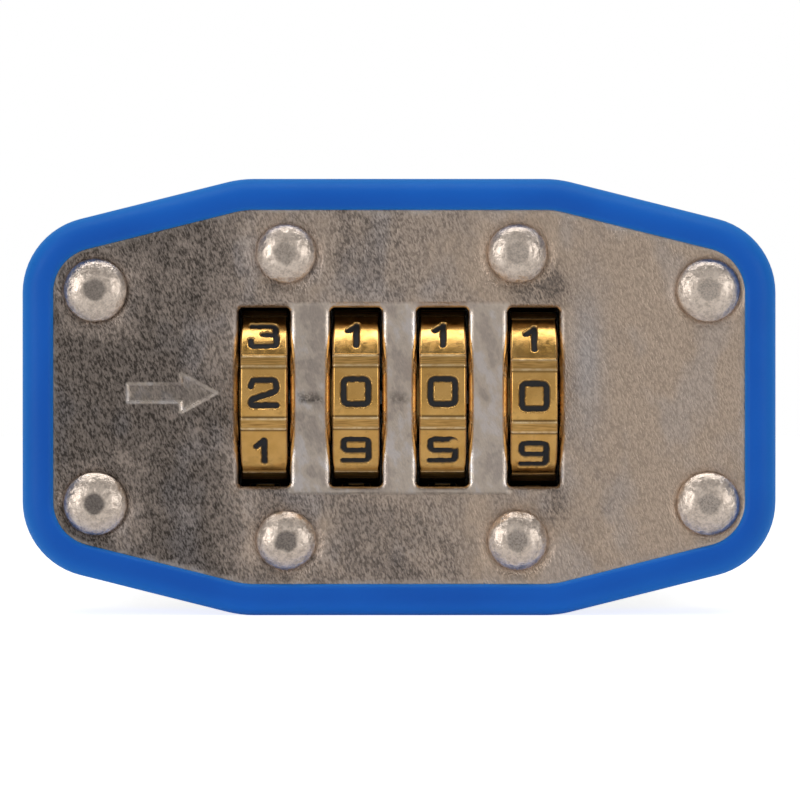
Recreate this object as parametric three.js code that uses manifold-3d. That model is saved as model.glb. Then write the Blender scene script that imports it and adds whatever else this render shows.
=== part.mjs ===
// A four-dial combination padlock with a laminated steel body, a bumper round its dial end and a
// round shackle. It lies on its back with the shackle drawn open. Sizes are in millimetres.
//
// Every piece is modelled in the lock's own frame: x runs along the row of dials, y is the depth
// from the dial face (y = 0) towards the shackle, and z is across the thickness (z = 0 in the
// middle). The last lines stand the lock on z = 0 with the origin under its middle.

import * as THREE from "three";
import { mergeVertices } from "three/addons/utils/BufferGeometryUtils.js";
import Module from "manifold-3d";

const wasm = await Module();
wasm.setup();

// Body outline: a flat-topped octagon with gently leaning shoulders and rounded ends.
const bodyWidth = 51;
const bodyThickness = 27.7;
const flatHalfLength = 11.4;
const shoulderLean = Math.atan(0.25);
const bodyCornerRadius = 3.4;

// Stack of plates along y.
const facePlateThickness = 1.8;
const laminationThickness = 2.4;
const plateGap = 0.1;
const laminationPitch = laminationThickness + plateGap;
const laminationCount = 17;
const capPlateThickness = 1.6;
const firstLaminationY = facePlateThickness + plateGap;
const capPlateY = firstLaminationY + laminationCount * laminationPitch;
const bodyLength = capPlateY + capPlateThickness;

// Bumper round the dial end.
const bumperWall = 2.2;
const bumperFit = 0.15;
const bumperProud = 0.5;
const bumperDepth = 12;
const bumperEdge = 0.9;

// Rivets: four near the corners and four along the long sides.
const rivetShankRadius = 1.6;
const rivetHoleRadius = 1.9;
const rivetHeadHeight = 0.75;
const rivetSeat = 0.05;
const cornerRivet = { x: 22.5, z: 7.84, headRadius: 2.35 };
const sideRivet = { x: 8.49, z: 10.53, headRadius: 2.2 };
const rivetRowShift = 0.2;
const domeSteps = [0, 0.3, 0.6, 1];

// Dials, numbered from the arrow's side, turning on one spindle that lies along x.
const dialCentres = [-9.9, -3.15, 3.2, 9.88];
const dialPlay = [2.5, 3.2, 3.2, 0.5].map(THREE.MathUtils.degToRad);
const dialAxisY = firstLaminationY + laminationPitch + laminationThickness / 2;
const dialFacets = 10;
const dialWidth = 3.4;
const dialRibRadius = 7.53;
const dialFacetApothem = 7.0;
const ribLand = 0.5;
const ribFoot = 0.8;
const dialBoreRadius = 3.85;

// Sleeve inside each dial: a gated cup on its left side takes one nub of the comb.
const sleeveRadius = 3.55;
const sleeveCupRadius = 2.75;
const sleeveHubRadius = 1.6;
const sleeveBoreRadius = 1.25;
const sleeveCupDepth = 1.5;
const gateWidth = 2.0;
const sleeveKeyRadius = 4.45;
const sleeveKeyWidth = 1.2;
const keyClearance = 0.3;
const spindleRadius = 1.0;
const spindleEnds = [-15.9, 13.7];

// Windows and the arrow in the face plate.
const windowWidth = 3.79;
const windowLength = 13.15;
const windowCorner = 0.5;
const arrow = { tail: -19.9, neck: -16.0, tip: -13.4, shaft: 1.3, head: 2.8, rise: 0.3, depth: 0.35 };

// Shackle, shown drawn out by its whole travel.
const travel = 10;
const shackleRadius = 4;
const legX = 16;
const clearanceHeight = 25;
const boreRadius = 4.3;
const crownCentreY = bodyLength + clearanceHeight + shackleRadius - legX + travel;
const toeTipY = 37.5 + travel;
const heelEndY = 21.5 + travel;
const neck = { start: 24.7 + travel, length: 2.4, radius: 2.6 };
const shackleSteps = 44;
const shackleSides = 12;

// Fork and comb, which slide with the shackle.
const fork = { y: 25.1 + travel, thickness: 1.6, left: 2.1, right: 19.3, halfHeight: 4.6, slot: 2.95 };
const comb = { thickness: 1.2, armWidth: 0.6, armOffset: 4.1, nubReach: 1.1, barTop: 17, barBottom: 14 };
const nub = { near: 1.85, far: 2.55 };
const stemLeft = 2.4;
const forkJoint = { left: 3.2, right: 5.6, clearance: 0.3 };

// Hollows cut through the laminations: their reach along x and half their height in z.
const cavity = { left: -14.4, right: 12.2, halfHeight: 7.9 };
const spindleSeat = { left: -16.2, right: 14.0, halfHeight: 1.3 };
const combSlot = { left: -14.4, right: 7.9, halfHeight: 0.9 };
const forkChannel = { left: 1.7, right: 20.6, halfHeight: 4.9 };

// Springs.
const coil = { radius: 3.05, wire: 0.35, turns: 7, start: 14.9, end: 30.9, stepsPerTurn: 10, sides: 5 };
const leaf = { left: -12, right: 11.6, y: 14.0, thickness: 0.3, low: 1.3, high: 7.6 };
const finger = { rootY: 14.15, rootZ: 7.35, tipRadius: 7.85, tipAngle: Math.PI / 5, width: 2.6 };

// --- Conversions between three.js geometry and closed solids ---

function toSolid(geometry) {
  const plain = geometry.clone();
  plain.deleteAttribute("normal");
  plain.deleteAttribute("uv");
  const merged = mergeVertices(plain, 1e-4);
  return new wasm.Manifold(
    new wasm.Mesh({
      numProp: 3,
      vertProperties: merged.attributes.position.array,
      triVerts: new Uint32Array(merged.index.array),
    }),
  );
}

function toGeometry(solid) {
  const { numProp, vertProperties, triVerts } = solid.getMesh();
  const positions = new Float32Array((vertProperties.length / numProp) * 3);
  for (let i = 0; i < positions.length / 3; i += 1) {
    positions.set(vertProperties.subarray(i * numProp, i * numProp + 3), i * 3);
  }
  const geometry = new THREE.BufferGeometry();
  geometry.setAttribute("position", new THREE.BufferAttribute(positions, 3));
  geometry.setIndex(new THREE.BufferAttribute(new Uint32Array(triVerts), 1));
  geometry.computeVertexNormals();
  return geometry;
}

function cut(geometry, cutters) {
  return toGeometry(cutters.reduce((solid, cutter) => solid.subtract(toSolid(cutter)), toSolid(geometry)));
}

function join(geometries) {
  return toGeometry(geometries.map(toSolid).reduce((whole, solid) => whole.add(solid)));
}

// --- Shared shapes ---

function box(xRange, yRange, zRange) {
  const sizes = [xRange, yRange, zRange].map(([low, high]) => high - low);
  const middles = [xRange, yRange, zRange].map(([low, high]) => (low + high) / 2);
  return new THREE.BoxGeometry(...sizes).translate(...middles);
}

// A shape drawn in (x, z), given thickness from yLow to yHigh.
function plateBetween(shape, yLow, yHigh, options = {}) {
  const geometry = new THREE.ExtrudeGeometry(shape, {
    depth: yHigh - yLow,
    bevelEnabled: false,
    curveSegments: 3,
    ...options,
  });
  return geometry.rotateX(Math.PI / 2).translate(0, yHigh, 0);
}

// A shape drawn in (y, z), given thickness from xLow to xHigh.
function sliceBetween(shape, xLow, xHigh) {
  const alongX = new THREE.Matrix4().makeBasis(
    new THREE.Vector3(0, 1, 0),
    new THREE.Vector3(0, 0, 1),
    new THREE.Vector3(1, 0, 0),
  );
  const geometry = new THREE.ExtrudeGeometry(shape, { depth: xHigh - xLow, bevelEnabled: false });
  return geometry.applyMatrix4(alongX).translate(xLow, 0, 0);
}

// Points of a regular polygon that clears a circle of the given radius.
function roundHole(x, z, radius, sides) {
  const reach = radius / Math.cos(Math.PI / sides);
  const points = [];
  for (let i = 0; i < sides; i += 1) {
    const angle = (2 * Math.PI * (i + 0.5)) / sides;
    points.push(new THREE.Vector2(x + reach * Math.cos(angle), z + reach * Math.sin(angle)));
  }
  return points;
}

function boreBetween(x, radius, yLow, yHigh) {
  return plateBetween(new THREE.Shape(roundHole(x, 0, radius, 16)), yLow, yHigh);
}

// The body's outline moved outwards by `grow`, drawn into a shape or a hole.
function traceBody(path, grow) {
  const halfWidth = bodyWidth / 2 + grow;
  const halfHeight = bodyThickness / 2 + grow;
  const radius = bodyCornerRadius + grow;
  const flat = flatHalfLength + grow * Math.tan(shoulderLean / 2);
  const cornerX = halfWidth - radius;
  const shoulderDrop = (cornerX - flat) * Math.tan(shoulderLean);
  const cornerZ = halfHeight - shoulderDrop - radius / Math.cos(shoulderLean);
  const turn = Math.PI / 2 - shoulderLean;
  path.moveTo(halfWidth, -cornerZ);
  path.absarc(cornerX, cornerZ, radius, 0, turn);
  path.lineTo(flat, halfHeight);
  path.lineTo(-flat, halfHeight);
  path.absarc(-cornerX, cornerZ, radius, Math.PI - turn, Math.PI);
  path.absarc(-cornerX, -cornerZ, radius, Math.PI, Math.PI + turn);
  path.lineTo(-flat, -halfHeight);
  path.lineTo(flat, -halfHeight);
  path.absarc(cornerX, -cornerZ, radius, -turn, 0);
  return path;
}

function rivetPlaces() {
  const places = [];
  for (const rivet of [cornerRivet, sideRivet]) {
    for (const sideX of [-1, 1]) {
      for (const sideZ of [-1, 1]) {
        places.push({ x: sideX * rivet.x + rivetRowShift, z: sideZ * rivet.z, headRadius: rivet.headRadius });
      }
    }
  }
  return places;
}

// --- Body plates ---

function bodyShape() {
  const shape = traceBody(new THREE.Shape(), 0);
  for (const { x, z } of rivetPlaces()) {
    shape.holes.push(new THREE.Path(roundHole(x, z, rivetHoleRadius, 8)));
  }
  return shape;
}

function windowPath(centre) {
  const halfWidth = windowWidth / 2;
  const halfLength = windowLength / 2;
  const path = new THREE.Path();
  path.moveTo(centre + halfWidth, -halfLength + windowCorner);
  for (const [sideX, sideZ, start] of [[1, 1, 0], [-1, 1, 0.5], [-1, -1, 1], [1, -1, 1.5]]) {
    const cornerX = centre + sideX * (halfWidth - windowCorner);
    const cornerZ = sideZ * (halfLength - windowCorner);
    path.absarc(cornerX, cornerZ, windowCorner, start * Math.PI, (start + 0.5) * Math.PI);
  }
  return path;
}

function arrowShape() {
  const { tail, neck: headBase, tip, shaft, head, rise } = arrow;
  const shape = new THREE.Shape();
  shape.moveTo(tail, rise - shaft / 2);
  shape.lineTo(headBase, rise - shaft / 2);
  shape.lineTo(headBase, rise - head / 2);
  shape.lineTo(tip, rise);
  shape.lineTo(headBase, rise + head / 2);
  shape.lineTo(headBase, rise + shaft / 2);
  shape.lineTo(tail, rise + shaft / 2);
  return shape;
}

function facePlate() {
  const shape = bodyShape();
  for (const centre of dialCentres) {
    shape.holes.push(windowPath(centre));
  }
  const plate = plateBetween(shape, 0, facePlateThickness);
  return cut(plate, [plateBetween(arrowShape(), -1, arrow.depth)]);
}

function laminationStart(index) {
  return firstLaminationY + index * laminationPitch;
}

// The hollows inside the body, each ending in the gap between two laminations.
function bodyHollows() {
  const gapBefore = (index) => laminationStart(index) - plateGap / 2;
  const hollow = ({ left, right, halfHeight }, first, end) =>
    box([left, right], [gapBefore(first), gapBefore(end)], [-halfHeight, halfHeight]);
  const beyondCap = bodyLength + 1;
  return [
    hollow(cavity, 0, 5),
    hollow(spindleSeat, 1, 2),
    hollow(combSlot, 5, 11),
    hollow(forkChannel, 9, 14),
    boreBetween(legX, boreRadius, gapBefore(5), beyondCap),
    boreBetween(-legX, boreRadius, gapBefore(14), beyondCap),
  ];
}

function lamination(index, hollows) {
  const start = laminationStart(index);
  return cut(plateBetween(bodyShape(), start, start + laminationThickness), hollows);
}

function capPlate(hollows) {
  return cut(plateBetween(bodyShape(), capPlateY, bodyLength), hollows);
}

function bumper() {
  const shape = traceBody(new THREE.Shape(), bumperWall - bumperEdge);
  shape.holes.push(traceBody(new THREE.Path(), bumperFit + bumperEdge));
  const options = {
    bevelEnabled: true,
    bevelThickness: bumperEdge,
    bevelSize: bumperEdge,
    bevelSegments: 2,
    curveSegments: 5,
  };
  return plateBetween(shape, bumperEdge - bumperProud, bumperDepth - bumperEdge, options);
}

function rivet(headRadius) {
  const dome = domeSteps.map((step) => [
    headRadius * Math.cos((step * Math.PI) / 2),
    rivetHeadHeight * Math.sin((step * Math.PI) / 2),
  ]);
  const near = dome.map(([r, h]) => new THREE.Vector2(r, -rivetSeat - h)).reverse();
  const far = dome.map(([r, h]) => new THREE.Vector2(r, bodyLength + rivetSeat + h));
  const shank = [-rivetSeat, bodyLength + rivetSeat].map((y) => new THREE.Vector2(rivetShankRadius, y));
  const profile = [...near, ...shank, ...far];
  profile[0].x = 0;
  profile[profile.length - 1].x = 0;
  return new THREE.LatheGeometry(profile, 10);
}

// --- Dials ---

// A ten-sided drum with a raised rib along each edge and two keyways in its bore.
function dialShape() {
  const facetAngle = (2 * Math.PI) / dialFacets;
  const facetHalf = dialFacetApothem * Math.tan(facetAngle / 2) - ribFoot / 2;
  const footRadius = Math.hypot(dialFacetApothem, facetHalf);
  const footAngle = facetAngle / 2 - Math.atan(facetHalf / dialFacetApothem);
  const landAngle = Math.asin(ribLand / 2 / dialRibRadius);
  const points = [];
  for (let i = 0; i < dialFacets; i += 1) {
    const rib = (i + 0.5) * facetAngle;
    for (const [radius, offset] of [
      [footRadius, -footAngle],
      [dialRibRadius, -landAngle],
      [dialRibRadius, landAngle],
      [footRadius, footAngle],
    ]) {
      points.push(new THREE.Vector2(radius * Math.cos(rib + offset), radius * Math.sin(rib + offset)));
    }
  }
  const shape = new THREE.Shape(points);
  shape.holes.push(new THREE.Path(roundHole(0, 0, dialBoreRadius, 20)));
  return shape;
}

function dial() {
  const reach = sleeveKeyRadius + keyClearance;
  const halfWidth = sleeveKeyWidth / 2 + keyClearance;
  const keyway = box([-dialWidth, dialWidth], [-halfWidth, halfWidth], [-reach, reach]);
  return cut(sliceBetween(dialShape(), -dialWidth / 2, dialWidth / 2), [keyway]);
}

function sleeve() {
  const face = -dialWidth / 2;
  const rim = face - sleeveCupDepth;
  const profile = [
    [sleeveBoreRadius, rim],
    [sleeveHubRadius, rim],
    [sleeveHubRadius, face],
    [sleeveCupRadius, face],
    [sleeveCupRadius, rim],
    [sleeveRadius, rim],
    [sleeveRadius, -face],
    [sleeveBoreRadius, -face],
    [sleeveBoreRadius, rim],
  ].map(([radius, x]) => new THREE.Vector2(radius, x));
  const turned = new THREE.LatheGeometry(profile, 16).rotateZ(-Math.PI / 2);
  const gateRadius = (sleeveHubRadius + sleeveCupRadius) / 2;
  const gate = box([rim - 1, face], [gateRadius, sleeveRadius + 1], [-gateWidth / 2, gateWidth / 2]);
  const keyHalf = sleeveKeyWidth / 2;
  const keys = [-1, 1].map((side) => {
    const reach = [side * sleeveKeyRadius, side * sleeveCupRadius].sort((a, b) => a - b);
    return box([face, -face], [-keyHalf, keyHalf], reach);
  });
  return join([cut(turned, [gate]), ...keys]);
}

function spindle() {
  const [left, right] = spindleEnds;
  const rod = new THREE.CylinderGeometry(spindleRadius, spindleRadius, right - left, 12);
  return rod.rotateZ(-Math.PI / 2).translate((left + right) / 2, dialAxisY, 0);
}

// --- Shackle, comb and fork ---

// The middle line of the shackle, from the end of its heel, over the crown, to its toe.
class ShackleLine extends THREE.Curve {
  getPoint(t, target = new THREE.Vector3()) {
    const heel = crownCentreY - heelEndY;
    const crown = Math.PI * legX;
    const along = t * (heel + crown + crownCentreY - toeTipY);
    if (along < heel) {
      return target.set(legX, heelEndY + along, 0);
    }
    if (along < heel + crown) {
      const angle = (along - heel) / legX;
      return target.set(legX * Math.cos(angle), crownCentreY + legX * Math.sin(angle), 0);
    }
    return target.set(-legX, crownCentreY - (along - heel - crown), 0);
  }
}

function shackle() {
  const section = new THREE.Shape(roundHole(0, 0, shackleRadius * Math.cos(Math.PI / shackleSides), shackleSides));
  const bar = new THREE.ExtrudeGeometry(section, {
    steps: shackleSteps,
    extrudePath: new ShackleLine(),
    bevelEnabled: false,
  });
  const end = neck.start + neck.length;
  const groove = new THREE.LatheGeometry(
    [
      new THREE.Vector2(neck.radius, neck.start),
      new THREE.Vector2(boreRadius + 1, neck.start),
      new THREE.Vector2(boreRadius + 1, end),
      new THREE.Vector2(neck.radius, end),
      new THREE.Vector2(neck.radius, neck.start),
    ],
    16,
  );
  return cut(bar, [groove.translate(legX, 0, 0)]);
}

// A flat stamping with one hooked arm for each dial and a stem up to the fork.
function lockingComb() {
  const barTop = comb.barTop + travel;
  const barBottom = comb.barBottom + travel;
  const nubTop = dialAxisY + nub.far + travel;
  const nubBottom = dialAxisY + nub.near + travel;
  const outline = new THREE.Shape();
  outline.moveTo(dialCentres[0] - comb.armOffset, barTop);
  for (const centre of dialCentres) {
    const armLeft = centre - comb.armOffset;
    const armRight = armLeft + comb.armWidth;
    outline.lineTo(armLeft, barBottom);
    outline.lineTo(armLeft, nubBottom);
    outline.lineTo(armRight + comb.nubReach, nubBottom);
    outline.lineTo(armRight + comb.nubReach, nubTop);
    outline.lineTo(armRight, nubTop);
    outline.lineTo(armRight, barBottom);
  }
  const stemTop = fork.y - plateGap;
  outline.lineTo(dialCentres.at(-1) - comb.armOffset + comb.armWidth, stemTop);
  outline.lineTo(forkJoint.right, stemTop);
  outline.lineTo(forkJoint.right, fork.y + fork.thickness);
  outline.lineTo(forkJoint.left, fork.y + fork.thickness);
  outline.lineTo(forkJoint.left, stemTop);
  outline.lineTo(stemLeft, stemTop);
  outline.lineTo(stemLeft, barTop);
  const plate = new THREE.ExtrudeGeometry(outline, { depth: comb.thickness, bevelEnabled: false });
  return plate.translate(0, 0, -comb.thickness / 2);
}

// A plate whose open slot holds the neck of the shackle's heel and lets it turn.
function shackleFork() {
  const shape = new THREE.Shape();
  shape.moveTo(fork.left, -fork.halfHeight);
  shape.lineTo(fork.right, -fork.halfHeight);
  shape.lineTo(fork.right, -fork.slot);
  shape.absarc(legX, 0, fork.slot, -Math.PI / 2, Math.PI / 2, true);
  shape.lineTo(fork.right, fork.slot);
  shape.lineTo(fork.right, fork.halfHeight);
  shape.lineTo(fork.left, fork.halfHeight);
  const left = forkJoint.left - forkJoint.clearance;
  const right = forkJoint.right + forkJoint.clearance;
  const halfHeight = comb.thickness / 2 + forkJoint.clearance;
  const corners = [[left, -halfHeight], [right, -halfHeight], [right, halfHeight], [left, halfHeight]];
  shape.holes.push(new THREE.Path(corners.map(([x, z]) => new THREE.Vector2(x, z))));
  return plateBetween(shape, fork.y, fork.y + fork.thickness, { curveSegments: 6 });
}

// --- Springs ---

class CoilLine extends THREE.Curve {
  getPoint(t, target = new THREE.Vector3()) {
    const angle = 2 * Math.PI * coil.turns * t;
    const y = coil.start + (coil.end - coil.start) * t;
    return target.set(legX + coil.radius * Math.cos(angle), y, coil.radius * Math.sin(angle));
  }
}

function shackleSpring() {
  return new THREE.ExtrudeGeometry(new THREE.Shape(roundHole(0, 0, coil.wire, coil.sides)), {
    steps: coil.turns * coil.stepsPerTurn,
    extrudePath: new CoilLine(),
    bevelEnabled: false,
  });
}

// A leaf with one bent finger over each dial, which makes it click from digit to digit.
function detentSpring() {
  const base = box([leaf.left, leaf.right], [leaf.y, leaf.y + leaf.thickness], [leaf.low, leaf.high]);
  const root = new THREE.Vector2(finger.rootY, finger.rootZ);
  const tip = new THREE.Vector2(Math.cos(finger.tipAngle), Math.sin(finger.tipAngle));
  tip.multiplyScalar(finger.tipRadius).add(new THREE.Vector2(dialAxisY, 0));
  const along = tip.clone().sub(root).normalize();
  const across = new THREE.Vector2(-along.y, along.x).multiplyScalar(leaf.thickness / 2);
  const shape = new THREE.Shape([
    root.clone().add(across),
    root.clone().sub(across),
    tip.clone().sub(across),
    tip.clone().add(across),
  ]);
  const fingers = dialCentres.map((centre) =>
    sliceBetween(shape, centre - finger.width / 2, centre + finger.width / 2),
  );
  return join([base, ...fingers]);
}

// --- Assembly ---

function piece(name, geometry, color, roughness, metalness) {
  const material = new THREE.MeshStandardMaterial({ color, roughness, metalness });
  const mesh = new THREE.Mesh(geometry, material);
  mesh.name = name;
  return mesh;
}

function nickel(name, geometry) {
  return piece(name, geometry, 0x9a968f, 0.45, 1);
}

function oiledSteel(name, geometry) {
  return piece(name, geometry, 0x77787a, 0.4, 1);
}

function springSteel(name, geometry) {
  return piece(name, geometry, 0x6d7076, 0.35, 1);
}

function brass(name, geometry) {
  return piece(name, geometry, 0xb58f45, 0.3, 1);
}

function body() {
  const group = new THREE.Group();
  const hollows = bodyHollows();
  group.add(nickel("face_plate", facePlate()));
  for (let i = 0; i < laminationCount; i += 1) {
    const number = String(i + 1).padStart(2, "0");
    group.add(oiledSteel(`lamination_${number}`, lamination(i, hollows)));
  }
  group.add(nickel("cap_plate", capPlate(hollows)));
  group.add(piece("bumper", bumper(), 0x0a3cc8, 0.25, 0));
  rivetPlaces().forEach(({ x, z, headRadius }, i) => {
    const mesh = nickel(`rivet_${i + 1}`, rivet(headRadius));
    mesh.position.set(x, 0, z);
    group.add(mesh);
  });
  group.add(springSteel("dial_spindle", spindle()));
  group.add(springSteel("detent_spring", detentSpring()));
  group.add(springSteel("shackle_spring", shackleSpring()));
  return group;
}

function dials() {
  const group = new THREE.Group();
  dialCentres.forEach((centre, i) => {
    const station = new THREE.Group();
    station.position.set(centre, dialAxisY, 0);
    const drum = brass(`dial_wheel_${i + 1}`, dial());
    drum.rotation.x = -dialPlay[i];
    station.add(drum);
    station.add(brass(`dial_sleeve_${i + 1}`, sleeve()));
    group.add(station);
  });
  return group;
}

function slidingParts() {
  const group = new THREE.Group();
  group.add(springSteel("locking_comb", lockingComb()));
  group.add(springSteel("shackle_fork", shackleFork()));
  group.add(piece("shackle", shackle(), 0xc8c8ca, 0.15, 1));
  return group;
}

const padlock = new THREE.Group();
padlock.add(body(), dials(), slidingParts());

const extent = new THREE.Box3().setFromObject(padlock, true);
padlock.position.set(0, -(extent.min.y + extent.max.y) / 2, -extent.min.z);

const scene = new THREE.Group();
scene.add(padlock);
export default scene;
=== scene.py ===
"""The looks of a four-dial combination padlock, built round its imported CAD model.

Shapes are worked out in the lock's own frame in millimetres: x along the dials, y from the dial face
towards the shackle, z across the thickness from its middle. make_piece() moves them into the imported
model's frame, in metres. Depths are along y, and most shapes are drawn in the (x, z) plane.
"""

import math

import bmesh
import bpy
import numpy as np
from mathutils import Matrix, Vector, noise
from mathutils.geometry import delaunay_2d_cdt

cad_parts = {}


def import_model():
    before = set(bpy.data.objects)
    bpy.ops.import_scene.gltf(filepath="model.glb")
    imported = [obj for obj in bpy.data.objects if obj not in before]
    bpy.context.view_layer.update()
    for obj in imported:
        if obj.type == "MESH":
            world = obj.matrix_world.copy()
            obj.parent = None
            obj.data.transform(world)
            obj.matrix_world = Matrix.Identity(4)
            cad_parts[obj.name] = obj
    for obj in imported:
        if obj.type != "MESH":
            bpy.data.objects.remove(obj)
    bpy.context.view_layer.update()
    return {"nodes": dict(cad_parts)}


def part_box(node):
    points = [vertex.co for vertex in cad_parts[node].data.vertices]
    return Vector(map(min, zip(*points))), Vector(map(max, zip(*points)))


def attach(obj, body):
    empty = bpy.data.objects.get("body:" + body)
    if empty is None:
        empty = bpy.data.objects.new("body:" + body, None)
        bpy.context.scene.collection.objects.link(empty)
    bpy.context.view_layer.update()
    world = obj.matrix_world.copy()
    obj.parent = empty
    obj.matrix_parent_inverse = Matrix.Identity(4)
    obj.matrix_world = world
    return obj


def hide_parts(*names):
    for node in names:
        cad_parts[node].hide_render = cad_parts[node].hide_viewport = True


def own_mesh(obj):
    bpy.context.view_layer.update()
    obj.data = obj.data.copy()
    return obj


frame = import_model()

MM = 0.001
FACE_LOW, FACE_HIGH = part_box("face_plate")
CAP_LOW, CAP_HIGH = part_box("cap_plate")
FACE_Y = FACE_LOW.y
MID_Z = (FACE_LOW.z + FACE_HIGH.z) / 2
ORIGIN = np.array([0.0, FACE_Y, MID_Z])
BODY_LENGTH = (CAP_HIGH.y - FACE_Y) / MM

# Body outline, the same octagon as the CAD plates, with its shoulders eased.
HALF_WIDTH = (FACE_HIGH.x - FACE_LOW.x) / MM / 2
HALF_HEIGHT = (FACE_HIGH.z - FACE_LOW.z) / MM / 2
FLAT_HALF = 11.4
LEAN = math.atan(0.25)
CORNER_RADIUS = 3.4
SHOULDER_RADIUS = 6.0
LONG_STEPS = 14
SIDE_STEPS = 10
SHOULDER_STEPS = 5


# --- Outlines ---

def arc(centre, radius, start, end, count):
    """Points on a circle, from one angle to the other."""
    angles = np.linspace(start, end, count)
    return np.column_stack([centre[0] + radius * np.cos(angles), centre[1] + radius * np.sin(angles)])


def body_outline(grow=0.0):
    """The body's outline moved outwards by `grow`, counter-clockwise, with as many points at any grow."""
    radius = CORNER_RADIUS + grow
    ease = SHOULDER_RADIUS + grow
    half_width = HALF_WIDTH + grow
    half_height = HALF_HEIGHT + grow
    flat = FLAT_HALF + grow * math.tan(LEAN / 2)
    corner_x = half_width - radius
    corner_z = half_height - (corner_x - flat) * math.tan(LEAN) - radius / math.cos(LEAN)
    turn = math.pi / 2 - LEAN
    shoulder = (flat - ease * math.tan(LEAN / 2), half_height - ease)
    end_arc = arc((corner_x, corner_z), radius, 0, turn, LONG_STEPS)
    ease_arc = arc(shoulder, ease, turn, math.pi / 2, SHOULDER_STEPS)
    slope = np.linspace(end_arc[-1], ease_arc[0], LONG_STEPS)[1:-1]
    flat_run = np.linspace(ease_arc[-1], (0, half_height), LONG_STEPS)[1:]
    side = np.linspace((half_width, 0), end_arc[0], SIDE_STEPS)[:-1]
    quarter = np.vstack([side, end_arc, slope, ease_arc, flat_run])
    mirror_x = quarter[::-1][1:] * (-1, 1)
    upper = np.vstack([quarter, mirror_x])
    lower = upper[::-1][1:-1] * (1, -1)
    return np.vstack([upper, lower])


def circle(centre, radius, count=48):
    return arc(centre, radius, 0, 2 * math.pi, count + 1)[:-1]


def eased_edge(radius, steps):
    """How far in and how far down each step is, round the quarter circle of an edge."""
    turns = np.linspace(0, math.pi / 2, steps)
    return list(zip(radius * (1 - np.sin(turns)), radius * (1 - np.cos(turns))))


def closed(loop):
    """The loop with its first point again at its end."""
    return np.vstack([loop, loop[:1]])


def rounded_box(centre, half_width, half_height, radius):
    """A rectangle with rounded corners and a few points along each side, counter-clockwise."""
    corners = []
    for quarter, (sx, sz) in enumerate([(1, 1), (-1, 1), (-1, -1), (1, -1)]):
        middle = (centre[0] + sx * (half_width - radius), centre[1] + sz * (half_height - radius))
        corners.append(arc(middle, radius, quarter * math.pi / 2, (quarter + 1) * math.pi / 2, 6))
    loop = []
    for i, corner in enumerate(corners):
        following = corners[(i + 1) % 4]
        gap = np.linalg.norm(following[0] - corner[-1])
        loop += [corner, np.linspace(corner[-1], following[0], max(3, round(gap / 0.35)))[1:-1]]
    return np.vstack(loop)


def inside(points, loop):
    """Which points are inside a closed loop."""
    x, z = points[:, 0], points[:, 1]
    found = np.zeros(len(points), bool)
    for (x1, z1), (x2, z2) in zip(loop, np.roll(loop, -1, axis=0)):
        crosses = (z1 > z) != (z2 > z)
        if z1 != z2:
            found ^= crosses & (x < (x2 - x1) * (z - z1) / (z2 - z1) + x1)
    return found


def distance_to_path(points, path):
    """Distance of each point to a line through `path`."""
    best = np.full(len(points), 1e9)
    for start, end in zip(path[:-1], path[1:]):
        run = end - start
        share = np.clip(((points - start) @ run) / max(run @ run, 1e-12), 0, 1)
        best = np.minimum(best, np.linalg.norm(points - (start + share[:, None] * run), axis=1))
    return best


def smooth_step(value, low, high):
    """0 up to `low`, eased up to 1 from `high` on."""
    share = np.clip((value - low) / (high - low), 0, 1)
    return share * share * (3 - 2 * share)


def fade(value, low, high):
    """1 up to `low`, eased down to 0 from `high` on."""
    return 1 - smooth_step(value, low, high)


def ripple(points, size, seed):
    """Smooth noise between about -1 and 1 at (x, z) or (x, y, z) points in millimetres."""
    offset = Vector((seed * 7.3, seed * 3.1, seed * 5.7))
    return np.array([noise.noise(Vector(p).to_3d() / size + offset) for p in points])


# --- Loops read from the CAD plates ---

ROUND_CORNERS = 8
ROUND_SLACK = 0.02


def cad_loops(node):
    """The closed edges of a CAD plate's front face, in (x, z) millimetres, the outline first."""
    mesh = bmesh.new()
    mesh.from_mesh(frame["nodes"][node].data)
    bmesh.ops.remove_doubles(mesh, verts=mesh.verts, dist=1e-6)
    front = min(v.co.y for v in mesh.verts)
    cap = {f for f in mesh.faces if max(v.co.y for v in f.verts) < front + 1e-5}
    after = {}
    for face in cap:
        for loop in face.loops:
            if sum(f in cap for f in loop.edge.link_faces) == 1:
                after[loop.vert] = loop.link_loop_next.vert
    loops = []
    while after:
        vert = next(iter(after))
        points = []
        while vert in after:
            points.append((vert.co.x / MM, (vert.co.z - MID_Z) / MM))
            vert = after.pop(vert)
        loops.append(np.array(points))
    mesh.free()
    loops.sort(key=lambda loop: -np.ptp(loop, axis=0).max())
    return loops


def as_circle(loop):
    """(centre, clear radius) if the loop is a regular polygon, or None."""
    centre = loop.mean(axis=0)
    reach = np.linalg.norm(loop - centre, axis=1)
    if len(loop) < ROUND_CORNERS or np.ptp(reach) > ROUND_SLACK:
        return None
    return centre, reach.mean() * math.cos(math.pi / len(loop))


def smoothed(loop):
    """The loop, with a regular polygon redrawn as a round hole."""
    found = as_circle(loop)
    return circle(*found) if found else loop


# --- Meshes ---

def link(name, data):
    """A new object in the scene."""
    made = bpy.data.objects.new(name, data)
    bpy.context.scene.collection.objects.link(made)
    return made


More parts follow.
